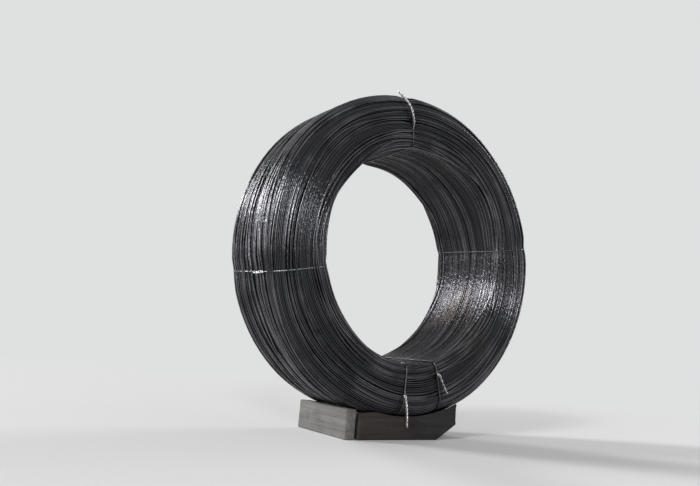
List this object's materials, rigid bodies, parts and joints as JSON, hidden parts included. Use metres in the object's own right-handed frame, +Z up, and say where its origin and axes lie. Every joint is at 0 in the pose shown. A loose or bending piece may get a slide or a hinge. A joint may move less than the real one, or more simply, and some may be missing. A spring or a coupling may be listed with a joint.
{
  "type": "coil of spring steel wire",
  "caption": "Round coil of dark spring steel wire, tied with twisted wire, standing on its rim on two timber rails and a scooped cross timber.",
  "frame": {"origin": "on the floor, below the coil's axis and midway between its two ends", "axes": "+Z up; the coil's axis lies along Y, and the end with the tie tails looks towards -Y"},
  "size_m": [1.2809, 0.4099, 1.3474],
  "materials": {
    "spring_steel": "satin",
    "tie_wire": "bright, scuffed",
    "weathered_timber": "sawn, weathered",
    "brown_timber": "sawn, dirty"
  },
  "bodies": {
    "root": {"coil": "spring_steel", "tie_twelve": "tie_wire", "tie_nine": "tie_wire", "tie_six": "tie_wire", "tie_five": "tie_wire", "tie_three": "tie_wire", "rail_left": "weathered_timber", "rail_right": "weathered_timber", "cross_timber": "brown_timber"}
  },
  "joints": []
}
